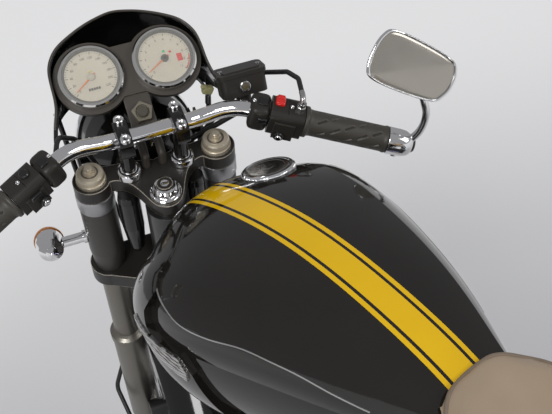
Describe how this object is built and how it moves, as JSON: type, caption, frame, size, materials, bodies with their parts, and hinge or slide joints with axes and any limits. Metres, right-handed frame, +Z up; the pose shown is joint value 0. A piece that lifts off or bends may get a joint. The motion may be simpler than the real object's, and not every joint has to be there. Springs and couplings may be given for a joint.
{
  "type": "cafe racer motorcycle",
  "caption": "Naked road motorcycle with a parallel twin engine, striped tank, low bar, end mirrors, fly screen and single seat, parked on its centre stand.",
  "frame": {"origin": "on the floor, under the middle of the whole machine", "axes": "+X forward, +Y to the rider's left, +Z up"},
  "size_m": [2.1101, 0.7448, 1.1781],
  "materials": {
    "gloss_black": "gloss lacquer",
    "frame_black": "satin powder coat",
    "stripe_yellow": "gloss lacquer",
    "chrome": "polished",
    "aluminium": "satin cast",
    "polished_aluminium": "polished",
    "engine_black": "satin enamel",
    "steel": "brushed",
    "fork_silver": "satin",
    "rubber": "matt",
    "tyre": "matt",
    "black_plastic": "matt",
    "gloss_plastic": "gloss",
    "seat_leather": "smooth",
    "lamp_glass": "clear",
    "amber_lens": "clear",
    "red_lens": "clear",
    "mirror_glass": "silvered",
    "dial_cream": "printed",
    "needle_orange": "painted",
    "red_plastic": "moulded",
    "brass": "satin"
  },
  "bodies": {
    "frame": {"frame_spine": "frame_black", "frame_cradles": "frame_black", "seat_rails": "frame_black", "engine_crankcase": "engine_black", "engine_covers": "polished_aluminium", "engine_cylinders": "engine_black", "engine_head": "engine_black", "engine_cam_cover": "polished_aluminium", "carburettors": "aluminium", "exhaust_headers": "chrome", "silencers": "chrome", "swingarm": "frame_black", "rear_axle": "steel", "shock_absorbers": "chrome", "drive_chain": "steel", "chain_guard": "chrome", "rear_caliper": "engine_black", "fuel_tank": "gloss_black", "fuel_cap": "chrome", "tank_flashes": "chrome", "seat": "seat_leather", "tail_cowl": "gloss_black", "rear_mudguard": "gloss_black", "side_panels": "gloss_black", "tail_lamp": "black_plastic", "rear_indicators": "chrome", "footrests": "aluminium"},
    "steering": {"upper_yoke": "gloss_black", "lower_yoke": "frame_black", "fork_legs": "fork_silver", "front_axle": "steel", "front_caliper": "engine_black", "front_mudguard": "gloss_black", "headlamp": "chrome", "headlamp_lens": "lamp_glass", "lamp_brackets": "frame_black", "yoke_lobes": "gloss_black", "handlebar": "chrome", "bar_clamps": "chrome", "grips": "rubber", "switchgear": "black_plastic", "hand_levers": "polished_aluminium", "brake_reservoir": "black_plastic", "control_cables": "rubber", "mirrors": "chrome", "gauges": "chrome", "gauge_panel": "black_plastic", "ignition_switch": "steel", "fly_screen": "gloss_plastic", "front_indicators": "chrome"},
    "front_wheel_set": {"front_tyre": "tyre", "front_wheel": "polished_aluminium", "front_disc": "steel"},
    "rear_wheel_set": {"rear_tyre": "tyre", "rear_wheel": "polished_aluminium", "rear_disc": "steel", "rear_sprocket": "steel"},
    "centre_stand_set": {"centre_stand": "frame_black"},
    "side_stand_set": {"side_stand": "frame_black"}
  },
  "joints": [
    {"name": "steering", "type": "hinge", "parent": "frame", "child": "steering", "pos_m": [0.36545, -0.01579, 0.9533], "axis": [-0.454, 0, 0.891], "range_deg": [-10, 54]},
    {"name": "front_wheel_spin", "type": "hinge", "parent": "steering", "child": "front_wheel_set", "pos_m": [0.75113, -0.03752, 0.31481], "axis": [0.3338, 0.9272, 0.1701], "continuous": true},
    {"name": "rear_wheel_spin", "type": "hinge", "parent": "frame", "child": "rear_wheel_set", "pos_m": [-0.73511, -0.01579, 0.33023], "axis": [0, 1, 0], "continuous": true},
    {"name": "centre_stand_fold", "type": "hinge", "parent": "frame", "child": "centre_stand_set", "pos_m": [-0.25511, -0.01579, 0.21423], "axis": [0, 1, 0], "range_deg": [0, 78]},
    {"name": "side_stand_fold", "type": "hinge", "parent": "frame", "child": "side_stand_set", "pos_m": [-0.00011, 0.10221, 0.16323], "axis": [0, -0.784, -0.6207], "range_deg": [0, 101.1]}
  ]
}
